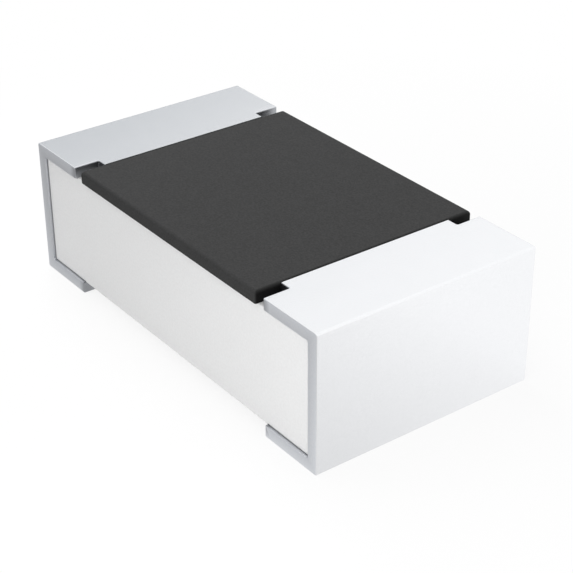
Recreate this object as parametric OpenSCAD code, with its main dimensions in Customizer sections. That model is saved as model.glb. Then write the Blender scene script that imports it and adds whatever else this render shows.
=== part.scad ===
// Thick-film chip resistor, 1608 metric size: a ceramic block carries a trimmed resistive film
// under two coats, and a plated termination wraps round each end.
// Millimetres. The origin is the middle of the ceramic block. X runs along the chip, Y across it,
// and Z up from the solder side to the overcoat.

/* [Chip] */
// Overall length over the two plated ends
chip_length = 1.6; // [1.3:0.01:2.2]
// Overall width over the plated sides
chip_width = 0.85; // [0.75:0.01:1.4]
// Thickness of the bare ceramic block
ceramic_thickness = 0.41; // [0.2:0.01:0.7]
// Rounding of the ceramic block's four end edges
ceramic_edge_radius = 0.009; // [0.004:0.001:0.015]

/* [Terminations] */
// Length of each top land, from the chip's end to its shoulders
top_land = 0.255; // [0.15:0.005:0.35]
// Length of each bottom land
bottom_land = 0.255; // [0.15:0.005:0.5]
// Reach of the central tab past the shoulders, up to the overcoat
tab_reach = 0.04; // [0.02:0.005:0.08]
// Inset of the tab's edges from the chip's sides
tab_inset = 0.095; // [0.05:0.005:0.12]
// Thickness of the printed silver, top and bottom
print_thickness = 0.012; // [0.008:0.001:0.02]
// Thickness of the dipped silver over the printed lands
land_coat = 0.019; // [0.014:0.001:0.03]
// Thickness of the dipped silver on the end face
end_coat = 0.031; // [0.016:0.001:0.05]
// Rounding of the dipped silver's outer corners
dip_radius = 0.005; // [0.003:0.001:0.01]
// Thickness of the nickel barrier
nickel_thickness = 0.004; // [0.002:0.001:0.006]
// Thickness of the tin plating
tin_thickness = 0.006; // [0.003:0.001:0.01]
// Rounding of the tin plating's outer corners, where it builds up
tin_corner_radius = 0.008; // [0.006:0.001:0.015]
// Rounding of the tin plating's side edges
tin_edge_radius = 0.004; // [0.002:0.001:0.006]

/* [Resistive film] */
// Thickness of the fired resistive film
film_thickness = 0.01; // [0.006:0.001:0.015]
// Distance from the overcoat's end to the film's end
film_setback = 0.04; // [0.03:0.005:0.06]
// Length of film that lies on each printed electrode
film_overlap = 0.05; // [0.03:0.005:0.07]
// Inset of the film's edges from the printed electrode's edges
film_inset = 0.04; // [0.02:0.005:0.06]
// Width of the laser's trim cut
kerf_width = 0.03; // [0.02:0.005:0.04]
// Depth of the trim cut across the film
kerf_depth = 0.3; // [0.15:0.01:0.35]
// Length of the trim cut along the film
kerf_run = 0.22; // [0.1:0.01:0.28]
// Distance of the cut across the film from the chip's middle
kerf_offset = 0.12; // [0.05:0.01:0.16]
// Distance outside the film's edge at which the trim cut starts
kerf_lead = 0.005; // [0.002:0.001:0.01]

/* [Coats] */
// Thickness of the glass coat over the film
glass_thickness = 0.008; // [0.005:0.001:0.012]
// Width of the glass coat's border round the film
glass_margin = 0.025; // [0.02:0.001:0.028]
// Thickness of the overcoat over the glass
overcoat_cover = 0.013; // [0.008:0.001:0.025]
// Width by which the overcoat stands past each side of the ceramic
overcoat_overhang = 0.01; // [0:0.001:0.015]
// Rounding of the overcoat's top edges
overcoat_edge_radius = 0.012; // [0.006:0.001:0.018]
// Rounding of the overcoat's upright corners
overcoat_corner_radius = 0.006; // [0.003:0.001:0.015]

/* [Hidden] */
$fn = 48;

// Plating, laid on all the silver that the overcoat leaves bare
plating = nickel_thickness + tin_thickness;
land_stack = print_thickness + land_coat + plating;

// Ceramic block, centred on the origin
ceramic_end = chip_length / 2 - plating - end_coat;
ceramic_side = chip_width / 2 - plating;
ceramic_top = ceramic_thickness / 2;

// Lands, as far above the middle as below it. A tab of the top land meets the overcoat.
land_top = ceramic_top + land_stack;
shoulder_x = chip_length / 2 - top_land;
tab_x = shoulder_x - tab_reach;
tab_side = chip_width / 2 - tab_inset;
bottom_land_x = chip_length / 2 - bottom_land;

// Printed silver, whose stem runs on under the overcoat to the film
print_end = ceramic_end - ceramic_edge_radius;
print_top = ceramic_top + print_thickness;
stem_side = tab_side - plating;
film_end = tab_x - film_setback;
stem_x = film_end - film_overlap;

// Film and coats
film_side = stem_side - film_inset;
film_top = print_top + film_thickness;
glass_end = film_end + glass_margin;
glass_side = film_side + glass_margin;
glass_top = film_top + glass_thickness;
overcoat_side = ceramic_side + overcoat_overhang;
overcoat_top = glass_top + overcoat_cover;

// Rectangle between two corners, with round corners where r is above 0
module rounded_rect(low, high, r) {
    translate(low + [r, 0]) square(high - low - [2 * r, 0]);
    if (r > 0) {
        translate(low + [0, r]) square(high - low - [0, 2 * r]);
        for (x = [low.x + r, high.x - r], y = [low.y + r, high.y - r])
            translate([x, y]) circle(r);
    }
}

// Carries an outline drawn in X and Z across the chip, from -side to side
module across(side) {
    rotate([90, 0, 0]) linear_extrude(2 * side, center = true) children();
}

// Carries an outline drawn in Y and Z along the chip, from x0 to x1
module along(x0, x1) {
    translate([x0, 0, 0]) rotate([90, 0, 90]) linear_extrude(x1 - x0) children();
}

// Carries a plan up from z0 to z1
module upward(z0, z1) {
    translate([0, 0, z0]) linear_extrude(z1 - z0) children();
}

// Turns a termination drawn at the right end (1) to the left end (-1)
module at_end(end) {
    if (end < 0) mirror([1, 0, 0]) children();
    else children();
}

// The ceramic's long outline, carried out to a given side.
// A form that only cuts runs past the faces that it opens: out past the sides, or down into the ceramic.
module ceramic_block(side) {
    across(side)
        rounded_rect([-ceramic_end, -ceramic_top], [ceramic_end, ceramic_top], ceramic_edge_radius);
}

// T-shaped print on the top face: a band over the full width, and a stem that runs in to the film
module top_print(base) {
    upward(base, print_top) {
        rounded_rect([shoulder_x + plating, -ceramic_side], [print_end, ceramic_side], 0);
        rounded_rect([stem_x, -stem_side], [print_end, stem_side], 0);
    }
}

// Plain printed band on the solder side
module bottom_print() {
    upward(-print_top, -ceramic_top)
        rounded_rect([bottom_land_x + plating, -ceramic_side], [print_end, ceramic_side], 0);
}

// Block that the ceramic and both prints fill up to the printed ends, carried out past the sides
module printed_block() {
    upward(-print_top, print_top) rounded_rect([0, -chip_width], [print_end, chip_width], 0);
}

// Side outline of one leg of the cap: round at the chip's end, and nearly square at the land's inner end
module leg_outline(low, high, corner, edge) {
    rounded_rect(low, high, corner);
    rounded_rect(low, high - [corner, 0], edge);
}

// The wrap-round cap at the right end, with a skin of plating over the bare silver.
// Every free face moves out by the skin. The tab stops at tab_end, against the overcoat.
module cap(skin, corner, edge, tab_end) {
    end_x = chip_length / 2 - plating + skin;
    side_y = ceramic_side + skin;
    high_z = land_top - plating + skin;
    top_x = shoulder_x + plating - skin;
    bottom_x = bottom_land_x + plating - skin;
    tab_y = stem_side + skin;
    intersection() {
        across(side_y) {
            leg_outline([top_x, -corner], [end_x, high_z], corner, edge);
            leg_outline([bottom_x, -high_z], [end_x, corner], corner, edge);
        }
        along(0, end_x) rounded_rect([-side_y, -high_z], [side_y, high_z], edge);
        upward(-high_z, high_z) rounded_rect([0, -side_y], [end_x, side_y], edge);
    }
    along(tab_end, end_x - corner) rounded_rect([-tab_y, 0], [tab_y, high_z], edge);
}

// One layer of plating: the cap with an outer skin, less the cap with the skin below it
module plated_layer(skin, corner, edge, skin_below) {
    difference() {
        cap(skin, corner, edge, tab_x);
        cap(skin_below, dip_radius + skin_below, 0, stem_x);
        ceramic_block(chip_width);
    }
}

// The film's space: it lies on the ceramic from base up, and steps up over both printed stems
module film_hill(base) {
    step_x = stem_x - film_thickness;
    low_top = ceramic_top + film_thickness;
    half = [[film_end, base], [film_end, film_top], [step_x, film_top], [step_x, low_top]];
    other_half = [for (i = [len(half) - 1:-1:0]) [-half[i].x, half[i].y]];
    across(film_side) polygon(concat(half, other_half));
}

// Round-ended slot from one point of the plan to another
module slot(start, stop, width) {
    run = stop - start;
    translate(start) rotate(atan2(run.y, run.x)) translate([0, -width / 2]) square([norm(run), width]);
    for (point = [start, stop]) translate(point) circle(d = width);
}

// L-shaped laser cut, taken through glass and film: first across the film, then along it
module trim_cut() {
    turn = [-kerf_offset, kerf_depth - film_side];
    upward(0, overcoat_top) {
        slot([-kerf_offset, -film_side - kerf_lead], turn, kerf_width);
        slot(turn, turn + [kerf_run, 0], kerf_width);
    }
}

// The levelled glass block from base up, with the film still inside it
module glass_block(base) {
    upward(base, glass_top) rounded_rect([-glass_end, -glass_side], [glass_end, glass_side], 0);
}

// The overcoat's outer form, with every edge rounded but those of its flat underside
module overcoat_block() {
    intersection() {
        across(overcoat_side) rounded_rect([-tab_x, 0], [tab_x, overcoat_top], overcoat_edge_radius);
        along(-tab_x, tab_x)
            rounded_rect([-overcoat_side, 0], [overcoat_side, overcoat_top], overcoat_edge_radius);
        upward(ceramic_top, overcoat_top)
            rounded_rect([-tab_x, -overcoat_side], [tab_x, overcoat_side], overcoat_corner_radius);
    }
}

module both_prints(base) {
    for (end = [-1, 1]) at_end(end) top_print(base);
}

module ceramic_substrate() {
    color("#f3f3f1") ceramic_block(ceramic_side);
}

module resistive_film() {
    color("#3b302c") difference() {
        film_hill(ceramic_top);
        both_prints(0);
        trim_cut();
    }
}

module glass_coat() {
    color("#6f7d74") difference() {
        glass_block(ceramic_top);
        film_hill(0);
        both_prints(0);
        trim_cut();
    }
}

module overcoat() {
    color("#454545") difference() {
        overcoat_block();
        both_prints(0);
        difference() {
            glass_block(0);
            trim_cut();
        }
    }
}

module top_electrode(end) {
    color("#cfcdc8") at_end(end) top_print(ceramic_top);
}

module bottom_electrode(end) {
    color("#cfcdc8") at_end(end) bottom_print();
}

module end_electrode(end) {
    color("#c4c3c0") at_end(end) difference() {
        cap(0, dip_radius, 0, tab_x);
        printed_block();
        ceramic_block(chip_width);
    }
}

module nickel_barrier(end) {
    color("#b3afa3") at_end(end) plated_layer(nickel_thickness, dip_radius + nickel_thickness, 0, 0);
}

module tin_plating(end) {
    color("#dcdee3") at_end(end) plated_layer(plating, tin_corner_radius, tin_edge_radius, nickel_thickness);
}

ceramic_substrate();
resistive_film();
glass_coat();
overcoat();
top_electrode(-1);  // left_top_electrode
top_electrode(1);  // right_top_electrode
bottom_electrode(-1);  // left_bottom_electrode
bottom_electrode(1);  // right_bottom_electrode
end_electrode(-1);  // left_end_electrode
end_electrode(1);  // right_end_electrode
nickel_barrier(-1);  // left_nickel_barrier
nickel_barrier(1);  // right_nickel_barrier
tin_plating(-1);  // left_tin_plating
tin_plating(1);  // right_tin_plating
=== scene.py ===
"""Looks of a thick-film chip resistor 1.6 mm long, lying on a white board.

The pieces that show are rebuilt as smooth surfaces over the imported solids: the two tin skins, the ceramic
block and the black overcoat. The layers inside keep their solids and get a finish each. Lengths are in
metres, unless a function says otherwise.
"""

import math
from collections import namedtuple

import bmesh
import bpy
import numpy as np
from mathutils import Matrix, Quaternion, Vector


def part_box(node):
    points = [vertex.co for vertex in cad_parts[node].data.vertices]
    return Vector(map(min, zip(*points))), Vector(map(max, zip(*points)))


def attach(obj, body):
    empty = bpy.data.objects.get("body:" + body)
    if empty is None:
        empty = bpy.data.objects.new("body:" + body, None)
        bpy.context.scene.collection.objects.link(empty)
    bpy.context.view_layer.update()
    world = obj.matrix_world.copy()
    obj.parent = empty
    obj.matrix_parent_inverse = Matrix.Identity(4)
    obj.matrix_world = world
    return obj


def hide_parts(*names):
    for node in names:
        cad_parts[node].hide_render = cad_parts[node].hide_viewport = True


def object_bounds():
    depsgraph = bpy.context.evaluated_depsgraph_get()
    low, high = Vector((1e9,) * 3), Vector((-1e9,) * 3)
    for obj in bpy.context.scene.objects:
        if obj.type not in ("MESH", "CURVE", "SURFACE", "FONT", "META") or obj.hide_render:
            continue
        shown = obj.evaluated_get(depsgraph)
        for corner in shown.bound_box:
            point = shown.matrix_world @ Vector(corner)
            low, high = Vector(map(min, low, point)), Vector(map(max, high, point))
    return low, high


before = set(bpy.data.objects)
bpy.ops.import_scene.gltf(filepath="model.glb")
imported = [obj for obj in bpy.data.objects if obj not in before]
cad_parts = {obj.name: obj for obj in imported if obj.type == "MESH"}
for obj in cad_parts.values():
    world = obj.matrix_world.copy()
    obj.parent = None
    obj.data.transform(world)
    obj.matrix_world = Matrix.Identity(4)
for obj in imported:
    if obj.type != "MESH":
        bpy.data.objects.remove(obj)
cad_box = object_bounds()

MM = 0.001

# Boxes of the solids that the new pieces follow.
tin_low, tin_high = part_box("right_tin_plating")
_, nickel_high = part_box("right_nickel_barrier")
ceramic_low, ceramic_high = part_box("ceramic_substrate")
coat_low, coat_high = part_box("overcoat")
_, glass_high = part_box("glass_coat")
print_low, print_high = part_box("right_top_electrode")

TIN_SKIN = tin_high.x - nickel_high.x

# Plan of the top land: a tab between two shoulders, which the bottom land's end is level with.
TAB_REACH = 0.040 * MM
TAB_INSET = 0.095 * MM
NOTCH_FILLET = 0.005 * MM
TAB_X = tin_low.x
SHOULDER_X = TAB_X + TAB_REACH
TAB_SIDE = tin_high.y - TAB_INSET

# Beyond this distance from the shoulder, a cap's columns of points run straight.
LAND_BLEND = 0.03 * MM

# The printed silver that runs under the overcoat at each end.
STEM_SIDE = 0.320 * MM
STEM_X = print_low.x

# Rounding.
TIN_CORNER = 0.008 * MM
TIN_EDGE = 0.004 * MM
TIN_HEM = 0.002 * MM
NICKEL_CORNER = 0.009 * MM
CERAMIC_CORNER = 0.009 * MM
CERAMIC_EDGE = 0.003 * MM
COAT_EDGE = 0.012 * MM
COAT_CORNER = 0.006 * MM

# The tin closes over the nickel's edge on the ceramic's sides by this much.
TIN_LIP = 0.0006 * MM

# Painted shade on the plating: 0 is pale, 1 is the greyer side plates and 2 is darkest, in hollows and steps.
HEM_SHADE = 1.15
WALL_SHADE = 1.5
NOTCH_SHADE = 1.74
INSIDE_SHADE = 2.0

# Painted shade on the overcoat's long sides, where its ends have 1.
LONG_SIDE_SHADE = 0.3

# Width of the grey line of painted shade on the ceramic along the side plates.
PLATE_LINE = 0.004 * MM

# Points closer than MERGE are one point; HAIR is the least step between two.
MERGE = 1e-8
HAIR = 0.0002 * MM

# Faces that lean further than this from each other meet in a sharp edge.
CREASE = math.radians(50)

# A patch of even roughness is this many grains across.
PATCH_GRAINS = 12


# Mesh helpers


def angles(count):
    """A quarter turn in equal steps, in radians, both ends included."""
    return np.linspace(0.0, math.pi / 2, count)


def grid_faces(rows, columns, closed):
    """Quads between the neighbours of a grid of points kept row by row.

    A closed grid's last column joins its first.
    """
    steps = columns if closed else columns - 1
    row, column = np.meshgrid(np.arange(rows - 1), np.arange(steps), indexing="ij")
    here = row * columns + column
    beside = row * columns + (column + 1) % columns
    return np.stack([here, beside, beside + columns, here + columns], axis=-1).reshape(-1, 4).tolist()


def even_normals(mesh):
    """Sets corner normals by which flats stay flat beside rounded edges.

    A corner's normal is the sum of area times normal over the faces round its point that lean less than
    CREASE from the corner's own face.
    """
    vertex = np.empty(len(mesh.loops), int)
    sides, area = np.empty(len(mesh.polygons), int), np.empty(len(mesh.polygons))
    normal = np.empty((len(mesh.polygons), 3))
    mesh.loops.foreach_get("vertex_index", vertex)
    mesh.polygons.foreach_get("loop_total", sides)
    mesh.polygons.foreach_get("area", area)
    mesh.polygons.foreach_get("normal", normal.ravel())
    order = np.argsort(vertex, kind="stable")
    point, face = vertex[order], np.repeat(np.arange(len(sides)), sides)[order]
    total = np.zeros((len(order), 3))
    most = np.bincount(vertex).max()
    for shift in range(1 - most, most):
        beside = np.roll(face, shift)
        shared = np.roll(point, shift) == point
        shared &= np.einsum("ij,ij->i", normal[face], normal[beside]) > math.cos(CREASE)
        total += np.where(shared, area[beside], 0.0)[:, None] * normal[beside]
    corner = np.empty_like(total)
    corner[order] = total / np.linalg.norm(total, axis=1, keepdims=True)
    mesh.normals_split_custom_set(corner.tolist())


def add_piece(name, points, faces, solid, slot, material, painted_shade):
    """Makes a closed mesh with its seams merged and its faces outwards, in place of one solid.

    painted_shade, a number for each point, is kept as an attribute by which the material paints shade.
    """
    mesh = bpy.data.meshes.new(name)
    mesh.from_pydata(points.reshape(-1, 3).tolist(), [], faces)
    kept_shade = mesh.attributes.new("painted_shade", "FLOAT", "POINT")
    kept_shade.data.foreach_set("value", painted_shade.astype(np.float32).ravel())
    work = bmesh.new()
    work.from_mesh(mesh)
    bmesh.ops.remove_doubles(work, verts=work.verts, dist=MERGE)
    bmesh.ops.dissolve_degenerate(work, edges=work.edges, dist=MERGE)
    bmesh.ops.recalc_face_normals(work, faces=work.faces)
    work.to_mesh(mesh)
    work.free()
    mesh.shade_smooth()
    even_normals(mesh)
    mesh.materials.append(material)
    piece = bpy.data.objects.new(name, mesh)
    bpy.context.scene.collection.objects.link(piece)
    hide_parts(solid)
    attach(piece, "root")


def rounded_outline(half_u, half_v, radius, u_breaks=(), v_breaks=(), steps=7):
    """A rectangle with round corners about the origin, once round, as (u, v) points.

    Each straight side carries extra points at plus and minus its breaks, held within the side.
    """
    turn = angles(steps)
    flat_u, flat_v = half_u - radius, half_v - radius
    along_u = np.clip(np.sort(np.concatenate([np.negative(u_breaks), u_breaks])), -flat_u, flat_u)
    along_v = np.clip(np.sort(np.concatenate([np.negative(v_breaks), v_breaks])), -flat_v, flat_v)
    corners = []
    for quarter, (sign_u, sign_v) in enumerate(((1, 1), (-1, 1), (-1, -1), (1, -1))):
        a = turn + quarter * math.pi / 2
        u, v = sign_u * flat_u + radius * np.cos(a), sign_v * flat_v + radius * np.sin(a)
        corners.append(np.column_stack([u, v]))
    top = np.column_stack([along_u[::-1], np.full(along_u.size, half_v)])
    left = np.column_stack([np.full(along_v.size, -half_u), along_v[::-1]])
    return np.concatenate([corners[0], top, corners[1], left, corners[2], -top, corners[3], -left])


def lofted(rings):
    """Points and faces of a closed body: quads from ring to ring, and a flat face on the first and last."""
    count, size, _ = rings.shape
    faces = grid_faces(count, size, closed=True)
    faces.append(list(range(size)))
    faces.append(list(range((count - 1) * size, count * size)))
    return rings, faces


# Ceramic block


def ceramic_block(material):
    """The block's rounded outline, seen from the side, carried across the width.

    Within CERAMIC_EDGE of each side the outline shrinks as a quarter circle, which takes the edge off.
    Painted shade, for the shade under the side plates' step, is 1 on that edge beside the plates and falls to
    0 over
    PLATE_LINE of the flat side.
    """
    turn = angles(4)
    inset = CERAMIC_EDGE * (1 - np.sin(turn))
    near = ceramic_low.y + CERAMIC_EDGE * (1 - np.cos(turn))
    inset = np.concatenate([[CERAMIC_EDGE + PLATE_LINE], inset, inset[::-1], [CERAMIC_EDGE + PLATE_LINE]])
    across = np.concatenate([near[:1], near, -near[::-1], -near[:1]])
    breaks = (SHOULDER_X - HAIR, SHOULDER_X + HAIR)
    outlines = np.stack([
        rounded_outline(ceramic_high.x - d, ceramic_high.z - d, CERAMIC_CORNER - d, breaks) for d in inset
    ])
    level = np.broadcast_to(across[:, None], outlines.shape[:2])
    rings = np.stack([outlines[..., 0], level, outlines[..., 1]], axis=-1)
    # Painted shade: a grey line on the ceramic's edge beside the side plates, under their step.
    on_edge = (inset > 0) & (inset <= CERAMIC_EDGE)
    painted_shade = on_edge[:, None] & (np.abs(outlines[..., 0]) > SHOULDER_X)
    add_piece("ceramic_block", *lofted(rings), "ceramic_substrate", "alumina", material, painted_shade)


# Overcoat


def black_overcoat(material):
    """The coat's rounded plan carried up its wall and over its top edge, with a pocket for the glass below.

    Over the edge the plan shrinks by r (1 - cos a) while it rises by r sin a. The wall's foot and the
    pocket's rim are level with the ceramic's top, or with the printed silver where that runs under the coat.
    Painted shade is 1 on the end walls, LONG_SIDE_SHADE on the long sides, and falls to 0 over the top edge,
    so the steep walls read darker than the top.
    """
    x_breaks = (STEM_X - HAIR, STEM_X + HAIR)
    y_breaks = (STEM_SIDE - HAIR, STEM_SIDE + HAIR)

    def ring(half_x, half_y, radius, level=None):
        """The plan at one level, or at the level of what lies under the coat."""
        plan = rounded_outline(half_x, half_y, radius, x_breaks, y_breaks)
        over_silver = (np.abs(plan[:, 0]) > STEM_X) & (np.abs(plan[:, 1]) < STEM_SIDE)
        foot = np.where(over_silver, print_high.z, coat_low.z)
        return np.column_stack([plan, foot if level is None else np.full(len(plan), level)])

    # The pocket's corners are all but square.
    pocket = (glass_high.x, glass_high.y, 2 * HAIR)
    rings = [ring(*pocket, glass_high.z), ring(*pocket), ring(coat_high.x, coat_high.y, COAT_CORNER)]
    turn = angles(9)
    for a in turn:
        d = COAT_EDGE * (1 - math.cos(a))
        level = coat_high.z - COAT_EDGE * (1 - math.sin(a))
        rings.append(ring(coat_high.x - d, coat_high.y - d, COAT_CORNER, level))
    # Painted shade: the steep walls darken, the ends near black and the long sides less, fading over the top
    # edge.
    facing_end = np.clip((np.abs(rings[2][:, 0]) - coat_high.x) / COAT_CORNER + 1, 0.0, 1.0)
    upright = np.concatenate([[0.0, 0.0, 1.0], np.cos(turn)])
    painted_shade = upright[:, None] * (LONG_SIDE_SHADE + (1 - LONG_SIDE_SHADE) * facing_end**2)
    add_piece("black_overcoat", *lofted(np.stack(rings)), "overcoat", "overcoat", material, painted_shade)


# Tin caps

# A cap's surface: its end face, side and land as distances from the part's middle; the shoulder and the
# tab's side in plan; the radii of its outer corner, edges, hem and notch fillet; and how far inside the
# ceramic's outline its side plates start.
Skin = namedtuple("Skin", "end side land shoulder tab_side corner edge hem fillet lip")

# Steps over a cap's edges and hem, and round its outer corners.
BEVEL = angles(5)
BEND = angles(9)


def quarter_arc(x, z, radius, x_part, z_part):
    """Quarter circle about (x, z), radius times (x_part, z_part) away, and the directions to its centre."""
    away = np.column_stack([x_part, z_part])
    return np.array([x, z]) + radius * away, -away


def with_mirror(upper):
    """A run of (x, z) points or directions above the middle, then its mirror image below, backwards."""
    return np.concatenate([upper, upper[::-1] * np.array([1.0, -1.0])])


def cap_rail(skin):
    """A cap's outline seen from the side, as (x, z) points, and the directions from it into the cap.

    Its upper half goes up the top land's inner wall, over the wall's edge, along the land and round the
    corner to the end face. Its lower half is the mirror image.
    """
    brow, brow_in = quarter_arc(
        skin.shoulder + skin.edge, skin.land - skin.edge, skin.edge, -np.cos(BEVEL), np.sin(BEVEL)
    )
    bend, bend_in = quarter_arc(
        skin.end - skin.corner, skin.land - skin.corner, skin.corner, np.sin(BEND), np.cos(BEND)
    )
    foot = [[skin.shoulder, ceramic_high.z]]
    straight = [[skin.shoulder + LAND_BLEND, skin.land]]
    rail = np.concatenate([foot, brow, straight, bend])
    into = np.concatenate([[[1.0, 0.0]], brow_in, [[0.0, -1.0]], bend_in])
    return with_mirror(rail), with_mirror(into)


def plate_foot(skin, inset):
    """The points that match the rail's on the ceramic's outline drawn in by inset, where the side plates end.

    Those of the inner wall and of its edge are one point.
    """
    level = ceramic_high.z - inset
    start = np.tile([[skin.shoulder + skin.edge, level]], (len(BEVEL) + 1, 1))
    straight = [[skin.shoulder + LAND_BLEND, level]]
    bend, _ = quarter_arc(
        ceramic_high.x - CERAMIC_CORNER, ceramic_high.z - CERAMIC_CORNER, CERAMIC_CORNER - inset,
        np.sin(BEND), np.cos(BEND),
    )
    return with_mirror(np.concatenate([start, straight, bend]))


def side_plate(skin, rail, into):
    """The cap's side plate at -Y as a grid: rows along the rail, columns from the ceramic's side outwards.

    From the foot they go over a hem, whose outline grows by hem (1 - cos a) while it goes out by hem sin a,
    and over the outer edge, drawn in from the rail by edge (1 - sin a) and from the side by edge (1 - cos a).
    """
    hem = [plate_foot(skin, skin.lip - skin.hem * (1 - math.cos(a))) for a in BEVEL]
    brim = rail[:, None, :] + into[:, None, :] * (skin.edge * (1 - np.sin(BEVEL)))[None, :, None]
    # The brim's two ends stay clear of the hem.
    brim[0, :, 1] += skin.hem * np.cos(BEVEL)
    brim[-1, :, 1] -= skin.hem * np.cos(BEVEL)
    outline = np.concatenate([np.stack([hem[0], *hem], axis=1), brim], axis=1)
    out = np.concatenate([
        [ceramic_low.y],
        -skin.side + skin.hem * (1 - np.sin(BEVEL)),
        -skin.side + skin.edge * (1 - np.cos(BEVEL)),
    ])
    return np.stack([outline[..., 0], np.broadcast_to(out, outline.shape[:2]), outline[..., 1]], axis=-1)


def land_end_path(shoulder_x, tab_x, side, tab_side, fillet):
    """Inner end of the top land in plan, from one side to the other.

    Half of it is a straight shoulder, a quarter-circle fillet into the notch, the tab's side and half the
    tab's end; the other half is its mirror image. Returns the points, the directions into the land, and a
    mark on the points of the tab's end.
    """
    turn = angles(6)
    centre = np.array([shoulder_x - fillet, -tab_side - fillet])
    outward = np.column_stack([np.cos(turn), np.sin(turn)])
    points = np.concatenate([[[shoulder_x, -side]], centre + fillet * outward, [[tab_x, -tab_side]]])
    inward = np.concatenate([[[1.0, 0.0]], outward, [[0.0, 1.0]]])
    ends = np.array([[tab_x, -tab_side], [tab_x, 0.0], [tab_x, tab_side]])
    flip = np.array([1.0, -1.0])
    path = np.concatenate([points, ends, points[::-1] * flip])
    into = np.concatenate([inward, np.tile([[1.0, 0.0]], (3, 1)), inward[::-1] * flip])
    on_tab_end = np.zeros(len(path), bool)
    on_tab_end[len(points):len(points) + 3] = True
    return path, into, on_tab_end


def cap_across(skin, rail):
    """The cap between its side plates, as a grid with its rows along the rail.

    The rows of the top land's inner wall and its edge follow the land's plan, drawn in by edge (1 - cos a)
    while they rise by edge sin a. Further out the columns are straight, and those of the tab draw in by its
    reach. Also returns a mark on the columns of the tab's end.
    """
    path, path_in, on_tab_end = land_end_path(
        skin.shoulder, TAB_X, skin.side - skin.edge, skin.tab_side, skin.fillet
    )
    straight_y = path[:, 1] - np.sign(path[:, 1]) * (skin.shoulder - path[:, 0])
    grid = np.stack([
        np.tile(rail[:, :1], (1, len(path))),
        np.tile(straight_y, (len(rail), 1)),
        np.tile(rail[:, 1:], (1, len(path))),
    ], axis=-1)
    wall_in = np.concatenate([[0.0], skin.edge * (1 - np.cos(BEVEL))])
    wall_z = np.concatenate([[ceramic_high.z], skin.land - skin.edge * (1 - np.sin(BEVEL))])
    wall = path[None] + path_in[None] * wall_in[:, None, None]
    # The tab's end starts inside the rounding of the tab's sides. It has a sharp edge, and its wall meets
    # the overcoat's.
    tab_end_y = np.clip(path[:, 1], skin.edge - skin.tab_side, skin.tab_side - skin.edge)
    wall[:, on_tab_end, 0] = TAB_X
    wall[:, on_tab_end, 1] = tab_end_y[on_tab_end]
    tab_end_z = np.full(len(wall), skin.land)
    tab_end_z[:2] = coat_high.z - COAT_EDGE, skin.land - HAIR
    grid[:len(wall), :, :2] = wall
    grid[:len(wall), :, 2] = np.where(on_tab_end, tab_end_z[:, None], wall_z[:, None])
    return grid, on_tab_end


def cap_painted_shade(rows, on_tab_end):
    """The painted shade of each point of a cap, which is 0 on the lands and the end.

    The top land's inner wall has WALL_SHADE at the sides and NOTCH_SHADE from the notch's fillet on, and the
    bottom land's has WALL_SHADE. Over the walls' edges it falls as the root of cos a. The tab's end has
    NOTCH_SHADE up to its sharp edge. The side plates have HEM_SHADE from the foot over the hem, and 1 - sin a
    over the outer edge, or the shade of the wall beside them where that is more. It paints shade into the
    walls, notch and hem, and greys the side plates.
    """
    fade = np.concatenate([[1.0], np.sqrt(np.abs(np.cos(BEVEL)))])
    below_sharp_edge = np.arange(len(fade)) < 2
    path_shade = np.full(len(on_tab_end), NOTCH_SHADE)
    path_shade[[0, -1]] = WALL_SHADE
    across = np.zeros((rows, len(on_tab_end)))
    across[:len(fade)] = np.where(on_tab_end, below_sharp_edge[:, None], fade[:, None]) * path_shade
    across[-len(fade):] = WALL_SHADE * fade[::-1, None]
    plate = np.concatenate([np.full(len(BEVEL) + 1, HEM_SHADE), 1 - np.sin(BEVEL[:-1])])
    plate = np.maximum(np.tile(plate, (rows, 1)), across[:, :1])
    return np.concatenate([plate, across, plate[:, ::-1]], axis=1)


def cap_surface(skin):
    """Outer surface of a wrap-around cap on the +X end, as a grid of points, and the painted shade of each
    point.

    Rows follow the rail. Columns go out over one side plate, across the width, and in over the other plate,
    its mirror image.
    """
    rail, into = cap_rail(skin)
    plate = side_plate(skin, rail, into)
    across, on_tab_end = cap_across(skin, rail)
    other = plate[:, ::-1] * np.array([1.0, -1.0, 1.0])
    points = np.concatenate([plate[:, :-1], across, other[:, 1:]], axis=1)
    return points, cap_painted_shade(len(rail), on_tab_end)


def tin_cap(name, end, solid, material):
    """A plated skin on one end: its outer surface, that of the nickel under it, and a rim between them."""
    outer, painted_shade = cap_surface(Skin(
        end=tin_high.x, side=tin_high.y, land=tin_high.z, shoulder=SHOULDER_X, tab_side=TAB_SIDE,
        corner=TIN_CORNER, edge=TIN_EDGE, hem=TIN_HEM, fillet=NOTCH_FILLET, lip=TIN_LIP,
    ))
    inner, _ = cap_surface(Skin(
        end=nickel_high.x, side=nickel_high.y, land=nickel_high.z,
        shoulder=SHOULDER_X + TIN_SKIN, tab_side=TAB_SIDE - TIN_SKIN,
        corner=NICKEL_CORNER, edge=0.0, hem=0.0, fillet=NOTCH_FILLET + TIN_SKIN, lip=0.0,
    ))
    rows, columns, _ = outer.shape
    # The inner surface, hidden against the nickel, gets the darkest painted shade.
    painted_shade = np.concatenate([painted_shade.ravel(), np.full(rows * columns, INSIDE_SHADE)])
    points = np.concatenate([outer.reshape(-1, 3), inner.reshape(-1, 3)]) * np.array([end, 1.0, 1.0])
    quads = grid_faces(rows, columns, closed=False)
    offset = rows * columns
    faces = quads + [[offset + corner for corner in reversed(quad)] for quad in quads]
    index = np.arange(offset).reshape(rows, columns)
    border = np.concatenate([index[0, :-1], index[:-1, -1], index[-1, :0:-1], index[:0:-1, 0]])
    ahead = np.roll(border, -1)
    faces += np.column_stack([ahead, border, border + offset, ahead + offset]).tolist()
    add_piece(name, points, faces, solid, "tin", material, painted_shade)


# Materials


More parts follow.
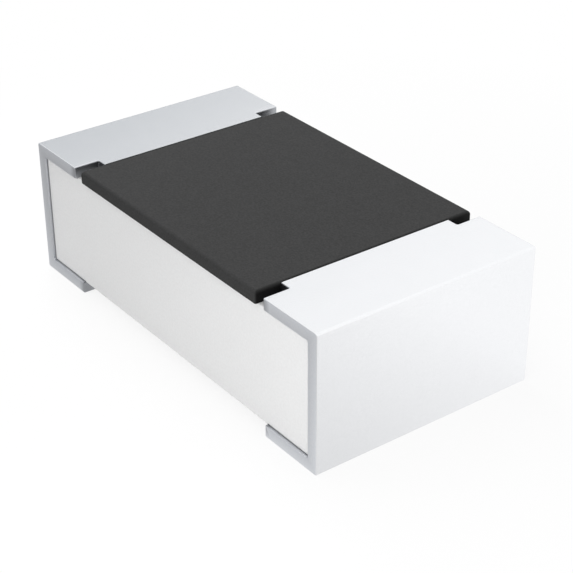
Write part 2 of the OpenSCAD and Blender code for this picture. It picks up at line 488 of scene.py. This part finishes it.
def linear(colour):
    """An sRGB colour written #rrggbb, as linear RGBA."""
    channel = np.array([int(colour[i:i + 2], 16) for i in (1, 3, 5)]) / 255
    value = np.where(channel <= 0.04045, channel / 12.92, ((channel + 0.055) / 1.055) ** 2.4)
    return (*value.tolist(), 1.0)


def add_node(tree, kind, sockets, **settings):
    """Adds a node; sockets gives, by name or number, a value or another node's output for each input."""
    node = tree.nodes.new(kind)
    for key, value in settings.items():
        setattr(node, key, value)
    for key, value in sockets.items():
        if isinstance(value, bpy.types.NodeSocket):
            tree.links.new(value, node.inputs[key])
        else:
            node.inputs[key].default_value = value
    return node


def blank_material(name):
    """A material with an empty node tree and its output node."""
    material = bpy.data.materials.new(name)
    material.use_nodes = True
    tree = material.node_tree
    tree.nodes.clear()
    return material, tree, tree.nodes.new("ShaderNodeOutputMaterial")


def grain(tree, size):
    """Noise in Object coordinates whose spots are about size metres across, from 0 to 1."""
    place = add_node(tree, "ShaderNodeTexCoord", {})
    return add_node(
        tree, "ShaderNodeTexNoise", {"Vector": place.outputs["Object"], "Scale": 1 / size, "Detail": 2.0}
    ).outputs["Fac"]


def ranged(tree, value, low, high, start=0.3, stop=0.7):
    """Maps value from start..stop to low..high."""
    return add_node(
        tree, "ShaderNodeMapRange",
        {"Value": value, "From Min": start, "From Max": stop, "To Min": low, "To Max": high},
    ).outputs["Result"]


def mixed(tree, share, first, second):
    """Colour between first and second, at share 0 and 1; each is a hex colour or another node's output."""
    mix = add_node(tree, "ShaderNodeMix", {0: share}, data_type="RGBA")
    for socket, colour in ((6, first), (7, second)):
        if isinstance(colour, str):
            mix.inputs[socket].default_value = linear(colour)
        else:
            tree.links.new(colour, mix.inputs[socket])
    return mix.outputs[2]


def grained_material(name, dark, light, size, height, rough, metallic=0.0, specular=0.5, shade_colour=None):
    """A surface of fine grain: colour between dark and light, roughness between two values, and a low bump.

    With a colour for shade_colour, the surface turns to it where the painted_shade attribute is 1, as painted
    shade.
    """
    material, tree, output = blank_material(name)
    spots = grain(tree, size)
    colour = mixed(tree, ranged(tree, spots, 0.0, 1.0), dark, light)
    # Painted shade: the colour turns to shade_colour by the painted_shade attribute.
    if shade_colour:
        painted_shade = add_node(tree, "ShaderNodeAttribute", {}, attribute_name="painted_shade").outputs["Fac"]
        colour = mixed(tree, painted_shade, colour, shade_colour)
    bump = add_node(tree, "ShaderNodeBump", {"Height": spots, "Strength": 1.0, "Distance": height})
    shader = add_node(tree, "ShaderNodeBsdfPrincipled", {
        "Base Color": colour,
        "Roughness": ranged(tree, grain(tree, PATCH_GRAINS * size), *rough),
        "Metallic": metallic,
        "Specular IOR Level": specular,
        "Normal": bump.outputs["Normal"],
    })
    tree.links.new(shader.outputs["BSDF"], output.inputs["Surface"])
    return material


def matte_tin():
    """Matte electroplated tin: pale and satin on the lands and ends; painted shade greys the side plates.

    It is rougher on the inner walls, and painted shade darkens them, the notch and the hem. Real grains are 1
    to 5 micrometres; they are drawn at 6, since finer ones would be lost in the picture.
    """
    grain_size, patch_size, bump_height = 0.006 * MM, 0.08 * MM, 0.0003 * MM
    material, tree, output = blank_material("matte_tin_plate")
    spots = grain(tree, grain_size)
    speckle = ranged(tree, spots, 0.0, 1.0)
    painted_shade = add_node(tree, "ShaderNodeAttribute", {}, attribute_name="painted_shade").outputs["Fac"]
    land = mixed(tree, speckle, "#f2f3f5", "#f6f7f9")
    # Painted shade: the side plates are greyer than the lands.
    plate = mixed(tree, speckle, "#e2e5ea", "#e8eaee")
    colour = mixed(tree, ranged(tree, painted_shade, 0.0, 1.0, 0.0, 1.0), land, plate)
    # Painted shade: the hem, the inner walls and the notch darken where the attribute goes past 1.
    colour = mixed(tree, ranged(tree, painted_shade, 0.0, 1.0, 1.0, 2.0), colour, "#4c4e53")
    satin = ranged(tree, grain(tree, patch_size), 0.25, 0.27)
    duller = ranged(tree, painted_shade, 0.0, 0.15, 0.0, 1.0)
    roughness = add_node(tree, "ShaderNodeMath", {0: satin, 1: duller}, operation="ADD")
    bump = add_node(tree, "ShaderNodeBump", {"Height": spots, "Strength": 1.0, "Distance": bump_height})
    shader = add_node(tree, "ShaderNodeBsdfPrincipled", {
        "Base Color": colour,
        "Metallic": 1.0,
        "Roughness": roughness.outputs[0],
        "Normal": bump.outputs["Normal"],
    })
    tree.links.new(shader.outputs["BSDF"], output.inputs["Surface"])
    return material


def ray_share(tree, *kinds):
    """1 for rays of the named kinds, and 0 for the rest."""
    rays = add_node(tree, "ShaderNodeLightPath", {})
    share = rays.outputs[kinds[0]]
    for kind in kinds[1:]:
        either = add_node(tree, "ShaderNodeMath", {0: share, 1: rays.outputs[kind]}, operation="MAXIMUM")
        share = either.outputs[0]
    return share


def white_board():
    """White card under the part.

    Seen directly, most of it glows at 1, so that it is white with a light shadow beside the part. The part
    mirrors it greyer towards the front, and greyer still on the left.
    """
    material, tree, output = blank_material("white_card")
    place = add_node(tree, "ShaderNodeTexCoord", {}).outputs["Object"]
    axes = add_node(tree, "ShaderNodeSeparateXYZ", {0: place}).outputs
    front_to_back = ranged(tree, axes["Y"], 0.6, 1.06, -1.2 * MM, 0.5 * MM)
    left_to_right = ranged(tree, axes["X"], 0.76, 1.0, -0.6 * MM, -0.2 * MM)
    tone = add_node(tree, "ShaderNodeMath", {0: front_to_back, 1: left_to_right}, operation="MULTIPLY")
    strength = add_node(tree, "ShaderNodeMix", {
        0: ray_share(tree, "Is Camera Ray"), 2: tone.outputs[0], 3: 1.0
    }, data_type="FLOAT")
    white = (1.0, 1.0, 1.0, 1.0)
    glow = add_node(tree, "ShaderNodeEmission", {"Color": white, "Strength": strength.outputs[0]})
    card = add_node(tree, "ShaderNodeBsdfDiffuse", {"Color": linear("#f8f8f8")})
    seen = ray_share(tree, "Is Camera Ray", "Is Glossy Ray", "Is Transmission Ray")
    away = add_node(tree, "ShaderNodeVectorMath", {0: place}, operation="LENGTH").outputs["Value"]
    most = ranged(tree, away, 0.85, 1.0, 1.0 * MM, 2.6 * MM)
    share = add_node(tree, "ShaderNodeMath", {0: seen, 1: most}, operation="MULTIPLY")
    mix = add_node(tree, "ShaderNodeMixShader", {
        0: share.outputs[0], 1: card.outputs["BSDF"], 2: glow.outputs["Emission"]
    })
    tree.links.new(mix.outputs["Shader"], output.inputs["Surface"])
    return material


def dress(nodes, material):
    """Gives inner solids their finish. They keep their mesh and their place."""
    for name in nodes:
        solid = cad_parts[name]
        solid.data.materials.clear()
        solid.data.materials.append(material)


# Stage


def softbox(name, place, width, height, radiance, aim=(0.0, 0.0, 0.0)):
    """A rectangular lamp that gives light and no reflection of itself. Its lengths are in millimetres.

    Its power follows from its area; radiance 1 is as bright as white.
    """
    lamp = bpy.data.lights.new(name, "AREA")
    lamp.shape = "RECTANGLE"
    lamp.size, lamp.size_y = width * MM, height * MM
    lamp.energy = radiance * math.pi * lamp.size * lamp.size_y
    lit = bpy.data.objects.new(name, lamp)
    lit.location = Vector(place) * MM
    lit.rotation_euler = (Vector(place) - Vector(aim)).to_track_quat("Z", "Y").to_euler()
    lit.visible_camera = False
    lit.visible_glossy = False
    bpy.context.scene.collection.objects.link(lit)


def lay_floor(level):
    """A large flat card just under the part."""
    half = 0.25
    corners = [(-half, -half, level), (half, -half, level), (half, half, level), (-half, half, level)]
    mesh = bpy.data.meshes.new("floor")
    mesh.from_pydata(corners, [], [(0, 1, 2, 3)])
    mesh.materials.append(white_board())
    floor = bpy.data.objects.new("floor", mesh)
    bpy.context.scene.collection.objects.link(floor)


def light_world(ambient, left, sky):
    """White surroundings, which light the part at ambient.

    A mirror shows them at sky, but low on the left cooler and greyer, at left. The soft edge between the two
    lies where the direction's part along up_right goes from edge_start to edge_stop.
    """
    up_right, edge_start, edge_stop = (0.87, 0.0, 0.49), -0.48, -0.42
    world = bpy.data.worlds.new("studio")
    bpy.context.scene.world = world
    world.use_nodes = True
    tree = world.node_tree
    tree.nodes.clear()
    direction = add_node(tree, "ShaderNodeTexCoord", {}).outputs["Generated"]
    along = add_node(tree, "ShaderNodeVectorMath", {0: direction, 1: up_right}, operation="DOT_PRODUCT")
    to_right = ranged(tree, along.outputs["Value"], 0.0, 1.0, edge_start, edge_stop)
    mirrored = ray_share(tree, "Is Glossy Ray", "Is Transmission Ray")
    strength = add_node(tree, "ShaderNodeMix", {
        0: mirrored, 2: ambient, 3: ranged(tree, to_right, left, sky, 0.0, 1.0)
    }, data_type="FLOAT").outputs[0]
    seen = ray_share(tree, "Is Camera Ray")
    strength = add_node(tree, "ShaderNodeMath", {0: strength, 1: seen}, operation="MAXIMUM").outputs[0]
    white = add_node(tree, "ShaderNodeMath", {0: to_right, 1: seen}, operation="MAXIMUM").outputs[0]
    tint = mixed(tree, white, "#f3f9ff", "#ffffff")
    glow = add_node(tree, "ShaderNodeBackground", {"Color": tint, "Strength": strength})
    output = tree.nodes.new("ShaderNodeOutputWorld")
    tree.links.new(glow.outputs["Background"], output.inputs["Surface"])


def aim_camera():
    """The photo's view: from the right and above, through a long lens.

    The camera looks at aim from a distance, both in millimetres, with a slight roll about its line of sight.
    """
    aim, distance = Vector((0.19125, -0.07924, 0.0)), 5.111
    azimuth, elevation, roll = math.radians(53.589), math.radians(30.063), math.radians(-0.388)
    back = Vector((
        math.sin(azimuth) * math.cos(elevation), -math.cos(azimuth) * math.cos(elevation), math.sin(elevation)
    ))
    data = bpy.data.cameras.new("camera")
    data.sensor_width = 36.0
    data.lens = 98.79
    data.clip_start, data.clip_end = 0.1 * MM, 1.0
    camera = bpy.data.objects.new("camera", data)
    camera.location = aim * MM + back * distance * MM
    camera.rotation_euler = (back.to_track_quat("Z", "Y") @ Quaternion((0.0, 0.0, 1.0), roll)).to_euler()
    bpy.context.scene.collection.objects.link(camera)
    bpy.context.scene.camera = camera


# The pieces that show

tin = matte_tin()
# Alumina: fired white ceramic, dense and fine-grained, with a faint sheen. A thin line of painted shade
# greys it along the tin.
alumina = grained_material(
    "fired_alumina", "#dbdbdb", "#e0e0e0",
    size=0.008 * MM, height=0.0004 * MM, rough=(0.34, 0.42), shade_colour="#88898d",
)
# Overcoat: cured charcoal epoxy, matte, with a very fine speckle of filler. Its steep ends carry painted
# shade, near black.
epoxy = grained_material(
    "charcoal_epoxy", "#353535", "#404040",
    size=0.006 * MM, height=0.0004 * MM, rough=(0.73, 0.77), specular=0.2, shade_colour="#0a0a0a",
)

tin_cap("left_tin_cap", -1.0, "left_tin_plating", tin)
tin_cap("right_tin_cap", 1.0, "right_tin_plating", tin)
ceramic_block(alumina)
black_overcoat(epoxy)

# The layers inside

ENDS = ("left", "right")
# Printed silver: fired paste, off-white and porous.
silver = grained_material(
    "fired_silver", "#c4c2bb", "#d3d1cb",
    size=0.010 * MM, height=0.001 * MM, rough=(0.45, 0.6), metallic=1.0,
)
dress([f"{end}_{face}_electrode" for end in ENDS for face in ("top", "bottom")], silver)
# Dipped silver: a thicker paste, a little darker and coarser.
dip = grained_material(
    "dipped_silver", "#b6b3ad", "#c9c6c0",
    size=0.016 * MM, height=0.0015 * MM, rough=(0.5, 0.65), metallic=1.0,
)
dress([f"{end}_end_electrode" for end in ENDS], dip)
# Nickel: satin plate, warmer than tin.
nickel = grained_material(
    "satin_nickel", "#b5afa4", "#c0baae",
    size=0.006 * MM, height=0.0003 * MM, rough=(0.3, 0.38), metallic=1.0,
)
dress([f"{end}_nickel_barrier" for end in ENDS], nickel)
# Resistive film: fired oxide in glass, near black with brown spots.
film = grained_material(
    "ruthenium_oxide_film", "#2c2320", "#45372f",
    size=0.012 * MM, height=0.0008 * MM, rough=(0.35, 0.5),
)
dress(["resistive_film"], film)
# Glass coat: a glossy fired glaze, grey-green over the dark film.
glaze = grained_material(
    "green_glass_glaze", "#6a766d", "#76837a",
    size=0.030 * MM, height=0.0005 * MM, rough=(0.12, 0.2),
)
dress(["glass_coat"], glaze)

# Light, floor and camera

bpy.context.scene.view_settings.view_transform = "Standard"
lay_floor(cad_box[0].z)
light_world(ambient=0.4, left=0.5, sky=1.07)
softbox("top_softbox", (-2.5, -1.0, 7.0), width=8.0, height=8.0, radiance=1.5)
softbox("left_softbox", (-2.2, 0.3, 2.0), width=1.2, height=1.2, radiance=4.5)
softbox("front_softbox", (2.4, -2.6, 0.95), width=2.6, height=1.9, radiance=3.5)
softbox("right_softbox", (3.5, 2.5, 0.65), width=2.4, height=1.8, radiance=4.0, aim=(0.8, 0.0, 0.0))
aim_camera()
